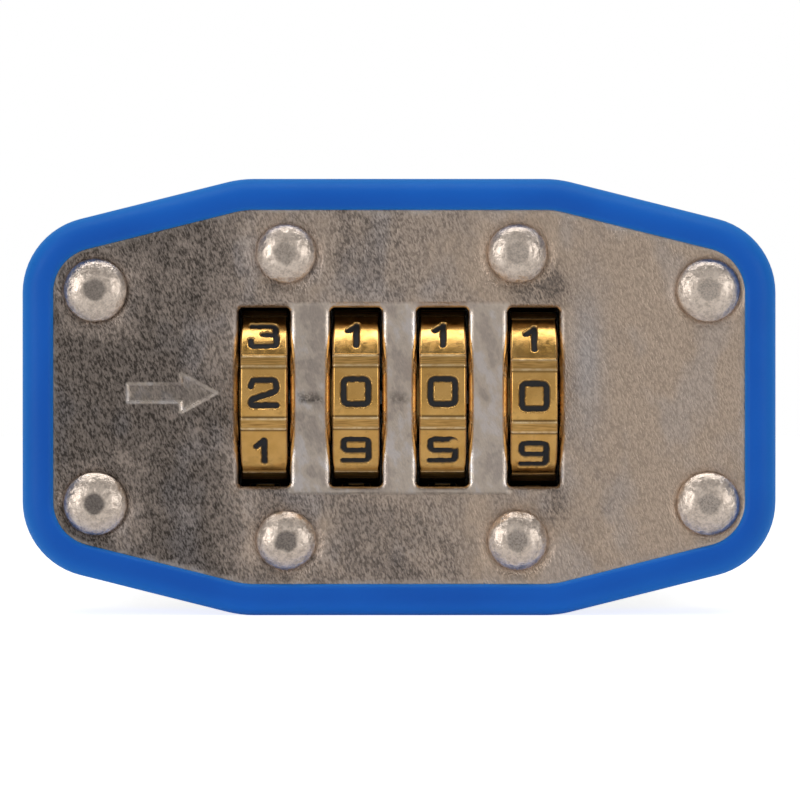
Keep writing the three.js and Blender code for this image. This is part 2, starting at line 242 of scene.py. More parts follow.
def make_piece(name, builder, material, body, stands_for, sharp=40.0):
    """A shaded piece from what was built in the lock's frame, in place of one CAD node."""
    mesh = bpy.data.meshes.new(name)
    faces = [list(map(int, face)) for face in builder.faces]
    mesh.from_pydata((builder.points * MM + ORIGIN).tolist(), [], faces)
    mesh.validate()
    tidy = bmesh.new()
    tidy.from_mesh(mesh)
    bmesh.ops.recalc_face_normals(tidy, faces=tidy.faces)
    tidy.to_mesh(mesh)
    tidy.free()
    mesh.materials.append(material)
    mesh.shade_smooth()
    mesh.set_sharp_from_angle(angle=math.radians(sharp))
    piece = link(name, mesh)
    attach(piece, body)
    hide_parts(stands_for)
    return piece


def paint(piece, name, values):
    """Keeps one number for each vertex, for the material to read."""
    layer = piece.data.attributes.new(name, "FLOAT", "POINT")
    layer.data.foreach_set("value", np.asarray(values, np.float32))


class Builder:
    """Collects the points and faces of one piece."""

    def __init__(self):
        self.points = np.empty((0, 3))
        self.faces = []

    def add(self, points):
        start = len(self.points)
        self.points = np.vstack([self.points, points])
        return np.arange(start, len(self.points))

    def bridge(self, low, high):
        """A band of quads between two closed rings."""
        for a, b, c, d in zip(low, np.roll(low, -1), np.roll(high, -1), high):
            self.faces.append((a, b, c, d))

    def rings(self, rings):
        """Bands through all the rings, each joined to the next."""
        made = [self.add(ring) for ring in rings]
        for low, high in zip(made[:-1], made[1:]):
            self.bridge(low, high)
        return made

    def close(self, made):
        """A flat face over the first and the last ring."""
        self.faces += [tuple(made[0][::-1]), tuple(made[-1])]


def at_depth(loop, y):
    """(x, z) points at one depth, or each at a depth of its own."""
    return np.column_stack([loop[:, 0], np.broadcast_to(y, len(loop)), loop[:, 1]])


def fill(builder, outer, holes, y, extra=(), height=None):
    """Triangles between an outline and its holes, through the extra points, at y + height."""
    loops = [outer, *holes]
    coords = np.vstack([*loops, *extra])
    edges = []
    start = 0
    for loop in loops:
        ids = np.arange(start, start + len(loop))
        edges += zip(ids.tolist(), np.roll(ids, -1).tolist())
        start += len(loop)
    result = delaunay_2d_cdt([Vector(c) for c in coords], edges, [], 0, 1e-6)
    flat = np.array([tuple(v) for v in result[0]])
    triangles = np.array([tuple(f) for f in result[2]])
    middles = flat[triangles].mean(axis=1)
    keep = inside(middles, outer)
    for hole in holes:
        keep &= ~inside(middles, hole)
    ids = builder.add(at_depth(flat, y + (height(flat) if height else 0.0)))
    builder.faces += [tuple(ids[t]) for t in triangles[keep]]


def scatter(outer, holes, spacing, margin):
    """Staggered points inside an outline, clear of its edge and of the holes."""
    low, high = outer.min(axis=0), outer.max(axis=0)
    rows = np.arange(low[1], high[1], spacing * math.sqrt(3) / 2)
    points = []
    for i, z in enumerate(rows):
        x = np.arange(low[0] + spacing / 2 * (i % 2), high[0], spacing)
        points.append(np.column_stack([x, np.full(len(x), z)]))
    points = np.vstack(points)
    points = points[inside(points, outer)]
    points = points[distance_to_path(points, closed(outer)) > margin]
    for hole in holes:
        points = points[~inside(points, hole)]
        points = points[distance_to_path(points, closed(hole)) >= margin]
    return points


# --- Node materials ---

def rgba(color):
    """A colour of four numbers from three, or from one for a grey."""
    return (*color, 1) if isinstance(color, tuple) else (color, color, color, 1)


def plug(tree, socket, value):
    """Links another node's output to a socket, or sets a number or a colour on it."""
    if isinstance(value, bpy.types.NodeSocket):
        tree.links.new(value, socket)
    elif socket.type == "RGBA":
        socket.default_value = rgba(value)
    else:
        socket.default_value = value


def add(tree, kind, inputs=None, **settings):
    """A shader node with its settings and its inputs."""
    node = tree.nodes.new(kind)
    for key, value in settings.items():
        setattr(node, key, value)
    for key, value in (inputs or {}).items():
        plug(tree, node.inputs[key], value)
    return node


def ramp(tree, factor, stops):
    """A colour ramp with eased steps; each stop is (position, (r, g, b)) or (position, grey)."""
    node = add(tree, "ShaderNodeValToRGB", {"Fac": factor})
    node.color_ramp.interpolation = "EASE"
    elements = node.color_ramp.elements
    while len(elements) < len(stops):
        elements.new(0.5)
    for element, (position, color) in zip(elements, stops):
        element.position = position
        element.color = rgba(color)
    return node.outputs["Color"]


def blend(tree, factor, low, high):
    """From one colour or grey to another over the usual range of a noise."""
    return ramp(tree, factor, [(0.3, low), (0.7, high)])


def mix(tree, factor, a, b, kind="MIX"):
    """One colour laid over another by a factor."""
    node = add(tree, "ShaderNodeMix", data_type="RGBA", blend_type=kind)
    for socket, value in zip((node.inputs[0], node.inputs[6], node.inputs[7]), (factor, a, b)):
        plug(tree, socket, value)
    return node.outputs[2]


def times(tree, a, b):
    """One colour multiplied by another."""
    return mix(tree, 1.0, a, b, "MULTIPLY")


def math_node(tree, operation, a, b, c=0.0):
    """A sum done on two or three numbers or outputs."""
    node = add(tree, "ShaderNodeMath", operation=operation)
    for socket, value in zip(node.inputs, (a, b, c)):
        plug(tree, socket, value)
    return node.outputs[0]


def linear(tree, a, factor, offset=0.0):
    """a * factor + offset."""
    return math_node(tree, "MULTIPLY_ADD", a, factor, offset)


def position(tree):
    """The place on the lock, as x, y and z outputs in metres."""
    where = add(tree, "ShaderNodeTexCoord").outputs["Object"]
    return add(tree, "ShaderNodeSeparateXYZ", {"Vector": where}).outputs


def across_plate(tree, offset):
    """From -0.5 at the arrow's end of the lock to 0.5 at the other, plus an offset."""
    return linear(tree, position(tree)["X"], 1 / (2 * HALF_WIDTH * MM), offset)


def grain(tree, size_mm, detail=2.0, rough=0.5, stretch=(1, 1, 1), turn=(0, 0, 0)):
    """Noise whose features are about size_mm across, longer along an axis where stretch is above 1."""
    where = add(tree, "ShaderNodeTexCoord").outputs["Object"]
    turned = add(tree, "ShaderNodeMapping", {"Vector": where, "Rotation": turn})
    scale = tuple(1 / s for s in stretch)
    scaled = add(tree, "ShaderNodeMapping", {"Vector": turned.outputs[0], "Scale": scale})
    inputs = {"Vector": scaled.outputs[0], "Scale": 1 / (size_mm * MM), "Detail": detail, "Roughness": rough}
    return add(tree, "ShaderNodeTexNoise", inputs).outputs["Fac"]


def bump(tree, height, distance_mm, strength):
    inputs = {"Height": height, "Distance": distance_mm * MM, "Strength": strength}
    return add(tree, "ShaderNodeBump", inputs).outputs[0]


def value_of(tree, name):
    """The number that paint() kept on the mesh."""
    return add(tree, "ShaderNodeAttribute", attribute_name=name).outputs["Fac"]


def new_material(name):
    material = bpy.data.materials.new(name)
    material.use_nodes = True
    tree = material.node_tree
    return material, tree, tree.nodes["Principled BSDF"]


def set_inputs(tree, shader, **values):
    """Sets or links inputs of the Principled shader, named with underscores for spaces."""
    for key, value in values.items():
        plug(tree, shader.inputs[key.replace("_", " ")], value)


def set_metal(tree, shader, color, rough, normal):
    """Bare metal."""
    set_inputs(tree, shader, Base_Color=color, Metallic=1.0, Roughness=rough, Normal=normal)


PLATE_SLANT = (0, math.radians(20), 0)
# The first colour darkens the bar marks and is also the painted shade on the window walls.
DARK_MARK_AND_SHADE = (0.035, 0.03, 0.028)
GREASE = (0.13, 0.11, 0.10)
BLUISH = (0.92, 1.05, 1.26)


def plate_ridges(tree):
    """Short slanting ridges of two sizes."""
    fine = grain(tree, 0.115, 2.0, 0.55, (1, 1, 2.6), PLATE_SLANT)
    coarse = grain(tree, 0.23, 2.0, 0.6, (1, 1, 1.7), PLATE_SLANT)
    return linear(tree, coarse, 0.36, linear(tree, fine, 0.64))


def plate_cleanness(tree, patches):
    """How light and clean the plate is: dirtiest at the arrow's end, cleanest opposite, in clouds, rubbed
    round its holes, and a little lighter towards the top.
    """
    rise = linear(tree, position(tree)["Z"], 0.10 / (2 * HALF_HEIGHT * MM), -0.09)
    blotches = grain(tree, 4.5, 4.0, 0.6)
    cloud = linear(tree, blotches, 0.50, linear(tree, patches, 0.50))
    clean = math_node(tree, "ADD", across_plate(tree, rise), cloud)
    return linear(tree, value_of(tree, "rubbed"), 0.32, clean)


def plate_tone(tree, clean):
    """Brown to pale nickel as the plate gets cleaner, with a bluish haze in places."""
    tone = ramp(tree, clean, [
        (0.10, (0.18, 0.150, 0.130)),
        (0.34, (0.31, 0.255, 0.218)),
        (0.56, (0.45, 0.362, 0.298)),
        (0.82, (0.545, 0.425, 0.332))])
    haze = ramp(tree, grain(tree, 3.4, 2.0, 0.5, (1, 1, 1.7)), [(0.5, 0.0), (0.68, 0.4)])
    haze = math_node(tree, "MAXIMUM", haze, value_of(tree, "haze"))
    return mix(tree, haze, tone, times(tree, tone, BLUISH))


def face_nickel():
    """Stamped nickel: dirt between its ridges at the arrow's end, rubbed and polished by wear, painted
    highlights on the window rims and the arrow's edge, painted shade on the window walls.
    """
    material, tree, shader = new_material("face_nickel")
    ridges = plate_ridges(tree)
    patches = grain(tree, 1.3, 3.0, 0.6, (1, 1, 1.5), PLATE_SLANT)
    clean = plate_cleanness(tree, patches)

    deep = ramp(tree, ridges, [(0.41, 0.36), (0.5, 0.94), (0.59, 1.45)])
    faint = ramp(tree, ridges, [(0.41, 0.86), (0.59, 1.06)])
    smudge = value_of(tree, "smudge")
    dirt = math_node(tree, "MAXIMUM", ramp(tree, clean, [(0.1, 1.0), (0.4, 0.62), (0.75, 0.08)]), smudge)
    color = times(tree, plate_tone(tree, clean), mix(tree, dirt, faint, deep))
    smear = linear(tree, smudge, ramp(tree, patches, [(0.35, 0.4), (0.6, 0.75)]))
    color = mix(tree, smear, color, GREASE)

    # Lighter, smoother metal: polish on the coined bars, along the border and over the cap plate, and painted
    # highlights on the window rims and along the arrow's edge.
    polish_and_highlight = value_of(tree, "polish_and_highlight")
    bright = ramp(tree, patches, [
        (0.36, (0.58, 0.49, 0.43)),
        (0.5, (0.77, 0.66, 0.56)),
        (0.64, (0.84, 0.77, 0.74))])
    color = mix(tree, polish_and_highlight, color, bright)
    broken = ramp(tree, grain(tree, 0.3, 3.0, 0.65), [(0.38, 0.3), (0.56, 1.0)])
    mark = linear(tree, value_of(tree, "mark"), broken)
    # Near black on the bar marks, and painted shade on the window walls.
    color = mix(tree, math_node(tree, "MAXIMUM", mark, value_of(tree, "wall")), color, DARK_MARK_AND_SHADE)

    rough = mix(tree, polish_and_highlight, blend(tree, patches, 0.46, 0.36), 0.24)
    height = linear(tree, ridges, linear(tree, polish_and_highlight, -0.85, 1.0))
    set_metal(tree, shader, color, rough, bump(tree, height, 0.09, 1.0))
    return material


def rivet_nickel():
    """Hammered bright nickel, dull and grey on the flat in the middle."""
    material, tree, shader = new_material("rivet_nickel")
    dints = grain(tree, 0.38, 2.0, 0.5)
    fine = grain(tree, 0.14, 3.0, 0.6)
    dull = value_of(tree, "dull")
    uneven = linear(tree, fine, 0.5, linear(tree, dints, 0.5))
    bright = ramp(tree, uneven, [(0.34, (0.60, 0.50, 0.42)), (0.62, (0.92, 0.785, 0.67))])
    grey = ramp(tree, across_plate(tree, 0.5), [(0.1, (0.22, 0.19, 0.17)), (0.9, (0.50, 0.43, 0.375))])
    grey = times(tree, grey, ramp(tree, fine, [(0.35, 0.72), (0.6, 1.15)]))
    color = mix(tree, dull, bright, grey)
    rough = mix(tree, dull, blend(tree, fine, 0.28, 0.38), 0.5)
    height = linear(tree, fine, 0.45, dints)
    set_metal(tree, shader, color, rough, bump(tree, height, 0.06, 0.8))
    return material


def blue_plastic():
    """Satin blue plastic with faint scuffs, and a painted glow, lighter where it turns away from the view."""
    material, tree, shader = new_material("bumper_blue")
    cloud = grain(tree, 9.0, 2.0, 0.5)
    scuffs = grain(tree, 0.25, 3.0, 0.6, (5, 1, 1), (0, 0.4, 0.3))
    color = blend(tree, cloud, (0.001, 0.110, 0.57), (0.002, 0.130, 0.63))
    # Painted light: a lighter blue where the surface turns away from the view, as if lit through thin
    # plastic.
    edge = add(tree, "ShaderNodeLayerWeight", {"Blend": 0.35}).outputs["Facing"]
    color = mix(tree, edge, color, (0.03, 0.36, 0.98))
    rough = ramp(tree, scuffs, [(0.35, 0.46), (0.7, 0.54)])
    height = math_node(tree, "ADD", linear(tree, scuffs, 0.3), grain(tree, 1.4, 1.0))
    set_inputs(tree, shader, Base_Color=color, Roughness=rough, Normal=bump(tree, height, 0.05, 0.35),
               Specular_IOR_Level=0.25)
    return material


def dial_brass():
    """Polished brass: numerals filled with black, ribs brushed across, grime and painted shade at their feet,
    painted glints along their edges.
    """
    material, tree, shader = new_material("dial_brass")
    cloud = grain(tree, 1.6, 2.0, 0.55)
    tarnish = grain(tree, 0.5, 3.0, 0.6)
    lines = grain(tree, 0.07, 2.0, 0.6, (22, 1, 1))
    brushed = value_of(tree, "brushed")
    ink = value_of(tree, "ink")

    color = blend(tree, cloud, (0.74, 0.415, 0.115), (0.86, 0.505, 0.16))
    color = mix(tree, ramp(tree, tarnish, [(0.55, 0.0), (0.75, 0.35)]), color, (0.36, 0.18, 0.05))
    # Dark grime and painted shade in the crease at the foot of each rib.
    grime_and_shade = linear(tree, value_of(tree, "grime_and_shade"), 0.8)
    color = mix(tree, grime_and_shade, color, (0.07, 0.035, 0.012))
    rib = blend(tree, lines, (0.44, 0.24, 0.07), (0.78, 0.46, 0.15))
    color = mix(tree, brushed, color, rib)
    # Painted glint: a bright brass line along both edges of each rib's land, broken up by the tarnish.
    wear_and_glint = ramp(tree, tarnish, [(0.35, 0.9), (0.6, 0.4)])
    wear_and_glint = linear(tree, value_of(tree, "wear_and_glint"), wear_and_glint)
    color = mix(tree, wear_and_glint, color, (1.0, 0.78, 0.46))
    color = mix(tree, ink, color, (0.012, 0.012, 0.014))

    metal = math_node(tree, "SUBTRACT", 1.0, ink)
    rough = mix(tree, brushed, blend(tree, tarnish, 0.15, 0.27), 0.36)
    rough = mix(tree, ink, rough, 0.7)
    height = mix(tree, brushed, cloud, linear(tree, lines, 0.4))
    normal = bump(tree, height, 0.05, 0.5)
    set_inputs(tree, shader, Base_Color=color, Metallic=metal, Roughness=rough, Normal=normal)
    return material


def lamination_steel():
    """Zinc-plated steel with punching streaks across each edge."""
    material, tree, shader = new_material("lamination_steel")
    streaks = grain(tree, 0.12, 2.0, 0.6, (1, 9, 1))
    cloud = grain(tree, 3.0, 3.0, 0.6)
    color = blend(tree, cloud, (0.36, 0.35, 0.335), (0.52, 0.51, 0.49))
    color = times(tree, color, ramp(tree, streaks, [(0.3, 0.82), (0.6, 1.05)]))
    rough = blend(tree, cloud, 0.42, 0.30)
    set_metal(tree, shader, color, rough, bump(tree, streaks, 0.03, 0.5))
    return material


def shackle_chrome():
    """Bright plated bar with faint drawing lines and cloudy patches."""
    material, tree, shader = new_material("shackle_chrome")
    lines = grain(tree, 0.10, 2.0, 0.6, (1, 14, 1))
    cloud = grain(tree, 4.0, 3.0, 0.6)
    color = blend(tree, cloud, 0.66, 0.72)
    rough = blend(tree, cloud, 0.13, 0.17)
    set_metal(tree, shader, color, rough, bump(tree, lines, 0.02, 0.25))
    return material


def inner_metal(name, dark, light, roughness):
    """Plain oiled metal for the pieces inside."""
    material, tree, shader = new_material(name)
    fine = grain(tree, 0.15, 2.0, 0.6)
    color = blend(tree, grain(tree, 1.2, 3.0, 0.6), dark, light)
    rough = blend(tree, fine, roughness - 0.06, roughness + 0.06)
    set_metal(tree, shader, color, rough, bump(tree, fine, 0.02, 0.4))
    return material


# --- Plates ---

PLATE_EDGE = 0.16
ROLL_STEPS = np.linspace(0, math.pi / 2, 7)
WALL_START = 0.15
WINDOW_LEAST_HEIGHT = 10.0
WINDOW_CORNER = 0.32
WINDOW_ROLL = 0.42
LEAST_BORE = 3.0
BORE_ROLL = 0.35
SEAT_ROLL = 0.08
SEAT_SIDES = 32
SEAT_OVERLAP = 0.25
DIMPLE_DEPTH = 0.26
COIN_DEPTH = 0.08
COIN_HALF_HEIGHT = 7.0
COIN_SHIFT = -0.08
COIN_EASE = 0.12
ARROW_CORNERS = 7
ARROW_DEPTH = 0.15
ARROW_BEVEL = 0.24
ARROW_SPACING = 0.065

# Waves of a stamped face: height, size and seed.
FACE_WAVES = ((0.035, 4.5, 1), (0.012, 1.1, 2))
CAP_WAVES = ((0.03, 5.0, 9),)

# Wear beside the last window: places measured from its upper outer corner, and how far each reaches.
SMUDGES = (((-1.6, 1.1), (2.2, 1.0)), ((-0.5, 2.1), (0.8, 1.2)), ((-0.3, -14.3), (0.9, 1.6)))
HAZE_PLACE = (2.0, -4.0)
HAZE_REACH = (1.2, 5.0)

# Dark marks in the middle of the bars between the windows: strength and half of the width.
BAR_MARKS = ((0.8, 0.95), (0.5, 0.7), (0.12, 0.5))
MARK_Z = -0.1


class Hole:
    """A hole whose edge is rolled over: its loop at any distance out from its wall."""

    def __init__(self, loop, roll):
        self.roll = roll
        self.round = as_circle(loop)
        self.low = loop.min(axis=0)
        self.high = loop.max(axis=0)
        self.middle = self.round[0] if self.round else (self.low + self.high) / 2
        self.half = (self.high - self.low) / 2

    def loop(self, grow):
        if self.round:
            return circle(self.middle, self.round[1] + grow)
        return rounded_box(self.middle, *(self.half + grow), WINDOW_CORNER + grow)


def seat_hole(centre, radius):
    """A rivet's hole, reaching in under its head."""
    return Hole(circle(centre, radius - SEAT_OVERLAP, SEAT_SIDES), SEAT_ROLL)


def dished(points, seats):
    """How deep (x, z) points are sunk by the dishes round the rivets."""
    sunk = np.zeros(len(points))
    for centre, radius in seats:
        reach = np.linalg.norm(points - centre, axis=1)
        sunk += DIMPLE_DEPTH * fade(reach, radius + 0.15, radius + 1.2)
    return sunk


def waves(points, kinds):
    return sum(height * ripple(points, size, seed) for height, size, seed in kinds)


def rings_round(seats, steps, count):
    return [circle(centre, radius + step, count) for centre, radius in seats for step in steps]


def stamped_plate(outer_y, inner_y, holes, extra, height, ragged):
    """A plate with a stamped outer face and rolled edges, its rim ragged (1) or true (0)."""
    inward = math.copysign(1.0, inner_y - outer_y)
    builder = Builder()

    def depth(points):
        return inward * height(points)

    def rolled(ring, roll, turn):
        """A ring part of the way round a rolled edge."""
        sunk = (1 - math.cos(turn)) * roll + height(ring) * math.cos(turn)
        return at_depth(ring, outer_y + inward * sunk)

    fill(builder, body_outline(-PLATE_EDGE), [hole.loop(hole.roll) for hole in holes], outer_y, extra, depth)
    rim = []
    for turn in ROLL_STEPS:
        ring = body_outline(-PLATE_EDGE + PLATE_EDGE * math.sin(turn))
        stray = ragged * (0.05 * ripple(ring, 1.4, 5) - 0.03)
        ring = ring * (1 + (stray * math.sin(turn) / HALF_WIDTH)[:, None])
        rim.append(rolled(ring, PLATE_EDGE, turn))
    builder.rings([*rim, at_depth(body_outline(), inner_y)])
    for hole in holes:
        wall = [rolled(hole.loop(hole.roll * (1 - math.sin(turn))), hole.roll, turn) for turn in ROLL_STEPS]
        start = outer_y + inward * (hole.roll + WALL_START)
        builder.rings([*wall, at_depth(hole.loop(0), start), at_depth(hole.loop(0), inner_y)])
    fill(builder, body_outline(), [hole.loop(0) for hole in holes], inner_y)
    return builder


class Face:
    """The features of the dial face, read from the CAD plate, and how they shape it."""

    def __init__(self):
        loops = cad_loops("face_plate")[1:]
        windows = [loop for loop in loops if np.ptp(loop[:, 1]) > WINDOW_LEAST_HEIGHT]
        windows.sort(key=lambda loop: loop[:, 0].mean())
        self.arrow = next(loop for loop in loops if len(loop) == ARROW_CORNERS)
        self.seats = [as_circle(loop) for loop in loops if as_circle(loop)]
        self.windows = [Hole(loop, WINDOW_ROLL) for loop in windows]
        self.holes = self.windows + [seat_hole(*seat) for seat in self.seats]
        self.coin_low = self.windows[0].high[0]
        self.coin_high = self.windows[-1].low[0]

    def coined(self, points):
        """1 on the pressed bars between the windows, and 0 elsewhere."""
        across = smooth_step(points[:, 0], self.coin_low - 0.3, self.coin_low + 0.1)
        across *= fade(points[:, 0], self.coin_high - 0.1, self.coin_high + 0.3)
        reach = np.abs(points[:, 1] - COIN_SHIFT)
        return across * fade(reach, COIN_HALF_HEIGHT - COIN_EASE, COIN_HALF_HEIGHT + COIN_EASE)

    def from_arrow(self, points):
        return distance_to_path(points, closed(self.arrow))

    def height(self, points):
        """How deep the face is sunk at (x, z) points."""
        near = self.from_arrow(points)
        signed = np.where(inside(points, self.arrow), near, -near)
        sunk = COIN_DEPTH * self.coined(points) + ARROW_DEPTH * smooth_step(signed, -0.06, ARROW_BEVEL)
        return sunk + dished(points, self.seats) + waves(points, FACE_WAVES)

    def detail_points(self):
        """Points for the face's triangles, closer together where it is shaped."""
        walls = [hole.loop(hole.roll) for hole in self.holes]
        points = [scatter(body_outline(-PLATE_EDGE), walls, 0.42, 0.2)]
        points += rings_round(self.seats, np.arange(0.15, 1.8, 0.15), 88)
        low, high = self.arrow.min(axis=0) - 0.3, self.arrow.max(axis=0) + 0.3
        across, up = np.meshgrid(*[np.arange(a, b, ARROW_SPACING) for a, b in zip(low, high)])
        points.append(np.column_stack([across.ravel(), up.ravel()]))
        x = np.arange(self.coin_low + 0.45, self.coin_high - 0.4, 0.3)
        for side in (-1, 1):
            for step in (-0.14, 0.0, 0.14):
                z = COIN_SHIFT + side * (COIN_HALF_HEIGHT + step)
                row = np.column_stack([x, np.full(len(x), z)])
                points.append(row[~np.any([inside(row, wall) for wall in walls], axis=0)])
        return points


def blob(points, centre, reach):
    """A soft spot, 1 at its centre and almost nothing at twice its reach along x and z."""
    return np.exp(-(((points - centre) / reach) ** 2).sum(axis=1))


def rubbed_places(face, plan):
    """Cleaner metal round the windows and the rivets."""
    rubbed = np.zeros(len(plan))
    for hole in face.holes:
        half = np.full(2, hole.round[1] + 0.9) if hole.round else hole.half
        away = np.linalg.norm(np.maximum(np.abs(plan - hole.middle) - half, 0), axis=1)
        rubbed = np.maximum(rubbed, fade(away, 0.0, 2.2 if hole.round else 1.6))
    return rubbed


def painted_rim_highlights(face, plan):
    """Painted highlights on the rolled edges down both sides of each window."""
    rims = np.zeros(len(plan))
    for window in face.windows:
        away = np.abs(plan - window.middle) - window.half
        beside = fade(np.abs(away[:, 0]), 0.1, WINDOW_ROLL)
        rims = np.maximum(rims, 0.8 * beside * fade(away[:, 1], -0.6, -0.1))
    return rims


def bar_marks(face, plan):
    """Short dark marks in the middle of the bars."""
    marks = np.zeros(len(plan))
    for left, right, (strength, half) in zip(face.windows[:-1], face.windows[1:], BAR_MARKS):
        bar = (left.high[0] + right.low[0]) / 2
        along = fade(np.abs(plan[:, 0] - bar), half - 0.15, half + 0.15)
        marks += strength * along * fade(np.abs(plan[:, 1] - MARK_Z), 0.1, 0.42)
    return marks


def paint_face(piece, face):
    """The wear, the dirt, the painted highlights and the painted shade that face_nickel() reads."""
    flat = (np.array([v.co for v in piece.data.vertices]) - ORIGIN) / MM
    plan = flat[:, [0, 2]]
    drift = ripple(plan, 2.2, 8)
    near = face.from_arrow(plan)
    in_arrow = inside(plan, face.arrow)
    corner = face.windows[-1].high

    smudge = np.clip(sum(blob(plan, corner + place, reach) for place, reach in SMUDGES), 0, 1)
    # The mask also darkens the middle of the sunken arrow, away from its edge.
    smudge = np.maximum(smudge, 0.45 * in_arrow * smooth_step(near, 0.3, 0.55))
    # Painted highlight along the sunken arrow's edge, stronger on its lower walls, which face the light; a
    # little polish inside it too.
    arrow_lip_highlight = fade(np.abs(near - 0.04), 0.02, 0.17)
    arrow_lip_highlight = arrow_lip_highlight * (0.5 + 0.28 * smooth_step(-plan[:, 1], 0.0, 0.4))
    arrow_lip_highlight = np.maximum(arrow_lip_highlight, 0.2 * in_arrow) * np.clip(1.0 + 0.5 * drift, 0.7, 1.1)
    border = distance_to_path(plan, closed(body_outline(-PLATE_EDGE)))
    edge = 0.55 * fade(border, 0.0, 0.22) * np.clip(0.6 + 0.9 * drift, 0, 1)
    # Painted highlights on the window rims and the arrow's edge, with polish along the border and on the
    # coined bars.
    polish_and_highlight = np.max([painted_rim_highlights(face, plan), edge, arrow_lip_highlight], axis=0) + 0.7 * face.coined(plan)

    paint(piece, "rubbed", rubbed_places(face, plan) * np.clip(0.6 + 0.7 * drift, 0, 1))
    paint(piece, "haze", blob(plan, corner + HAZE_PLACE, HAZE_REACH))
    paint(piece, "smudge", smudge)
    paint(piece, "polish_and_highlight", np.clip(polish_and_highlight, 0, 1))
    # Painted shade: the window walls, below their rolled edges, go near black.
    paint(piece, "wall", smooth_step(flat[:, 1], WINDOW_ROLL, WINDOW_ROLL + WALL_START))
    paint(piece, "mark", bar_marks(face, plan))


def face_plate(material):
    """The dial face: windows with rolled edges, coined bars, dished rivet seats and a sunken arrow."""
    face = Face()
    inner_y = (FACE_HIGH.y - FACE_Y) / MM
    builder = stamped_plate(0.0, inner_y, face.holes, face.detail_points(), face.height, 1)
    piece = make_piece("dial_face_plate", builder, material, "case", "face_plate")
    paint_face(piece, face)


def cap_plate(material):
    """The plate at the shackle's end, a little polished all over."""
    circles = [as_circle(loop) for loop in cad_loops("cap_plate")[1:]]
    seats = [found for found in circles if found[1] <= LEAST_BORE]
    holes = [Hole(circle(*found), BORE_ROLL) for found in circles if found[1] > LEAST_BORE]
    holes += [seat_hole(*seat) for seat in seats]

    def height(points):
        return dished(points, seats) + waves(points, CAP_WAVES)

    walls = [hole.loop(hole.roll) for hole in holes]
    extra = [scatter(body_outline(-PLATE_EDGE), walls, 0.7, 0.25)]
    extra += rings_round(seats, np.arange(0.2, 1.7, 0.3), 44)
    inner_y = (CAP_LOW.y - FACE_Y) / MM
    builder = stamped_plate(BODY_LENGTH, inner_y, holes, extra, height, 0)
    piece = make_piece("shackle_end_plate", builder, material, "case", "cap_plate")
    count = len(piece.data.vertices)
    paint(piece, "polish_and_highlight", np.full(count, 0.35))
    for name in ("rubbed", "mark", "smudge", "haze", "wall"):
        paint(piece, name, np.zeros(count))


# --- Rivets ---

HEAD_HEIGHT = 0.8
RIVET_CENTRE = 0.8
RIVET_SHANK = 1.6
HEAD_OVERHANG = 0.1
RIVET_SIDES = 80
DOME_STEPS = 18
# How steep the dome is where it starts and ends, in degrees.
DOME_FALL = (10, 58)

# How dull the middle of each head is, rivet by rivet.
RIVET_DULLNESS = (1.0, 0.85, 1.0, 0.8, 1.0, 0.56, 1.0, 0.58)


def head_profile(radius):
    """Radii and depths from the middle of a head, down its ever steeper dome and in under it to the shank."""
    dome_r = np.linspace(RIVET_CENTRE, radius, DOME_STEPS)
    fall = np.tan(np.radians(np.linspace(*DOME_FALL, DOME_STEPS)))
    drop = np.concatenate([[0], np.cumsum((fall[1:] + fall[:-1]) / 2 * np.diff(dome_r))])
    dome_y = -HEAD_HEIGHT + drop * (HEAD_HEIGHT - 0.02) / drop[-1]
    middle = np.linspace(0.12, RIVET_CENTRE - 0.1, 7)
    reach = np.concatenate([middle, dome_r, [radius, radius - 0.1, RIVET_SHANK]])
    depth = np.concatenate([np.full(len(middle), -HEAD_HEIGHT), dome_y, [0.2, 0.3, 0.3]])
    return reach, depth


def rivet(number, material):
    """A hammered rivet: a dome with a flat centre at each end of its shank."""
    low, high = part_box(f"rivet_{number}")
    middle = (low + high) / 2
    centre = (middle.x / MM, (middle.z - MID_Z) / MM)
    reach, depth = head_profile((high.x - low.x) / MM / 2 + HEAD_OVERHANG)
    reach = np.concatenate([reach, reach[::-1]])
    depth = np.concatenate([depth, BODY_LENGTH - depth[::-1]])
    builder = Builder()
    builder.close(builder.rings([at_depth(circle(centre, r, RIVET_SIDES), y) for r, y in zip(reach, depth)]))

    points = builder.points
    away = np.hypot(points[:, 0] - centre[0], points[:, 2] - centre[1])
    on_head = smooth_step(away, RIVET_CENTRE - 0.15, RIVET_CENTRE + 0.3)
    on_head *= (points[:, 1] < 0.05) | (points[:, 1] > BODY_LENGTH - 0.05)
    dints = ripple(points, 0.42, number) + 0.6 * ripple(points, 0.9, number + 20)
    ends = np.where(points[:, 1] < BODY_LENGTH / 2, 1, -1)
    points[:, 1] += ends * (0.03 * dints * on_head + 0.012 * np.abs(dints))
    piece = make_piece(f"rivet_head_{number}", builder, material, "case", f"rivet_{number}",
                       60)
    wobble = away + 0.16 * ripple(points, 0.5, number + 40)
    dull = fade(wobble, RIVET_CENTRE - 0.16, RIVET_CENTRE + 0.12)
    paint(piece, "dull", RIVET_DULLNESS[number - 1] * dull)


# --- Number wheels ---

DIGITS_SHOWN = (2, 0, 0, 0)
DIAL_CENTRES = (-9.9, -3.15, 3.2, 9.88)
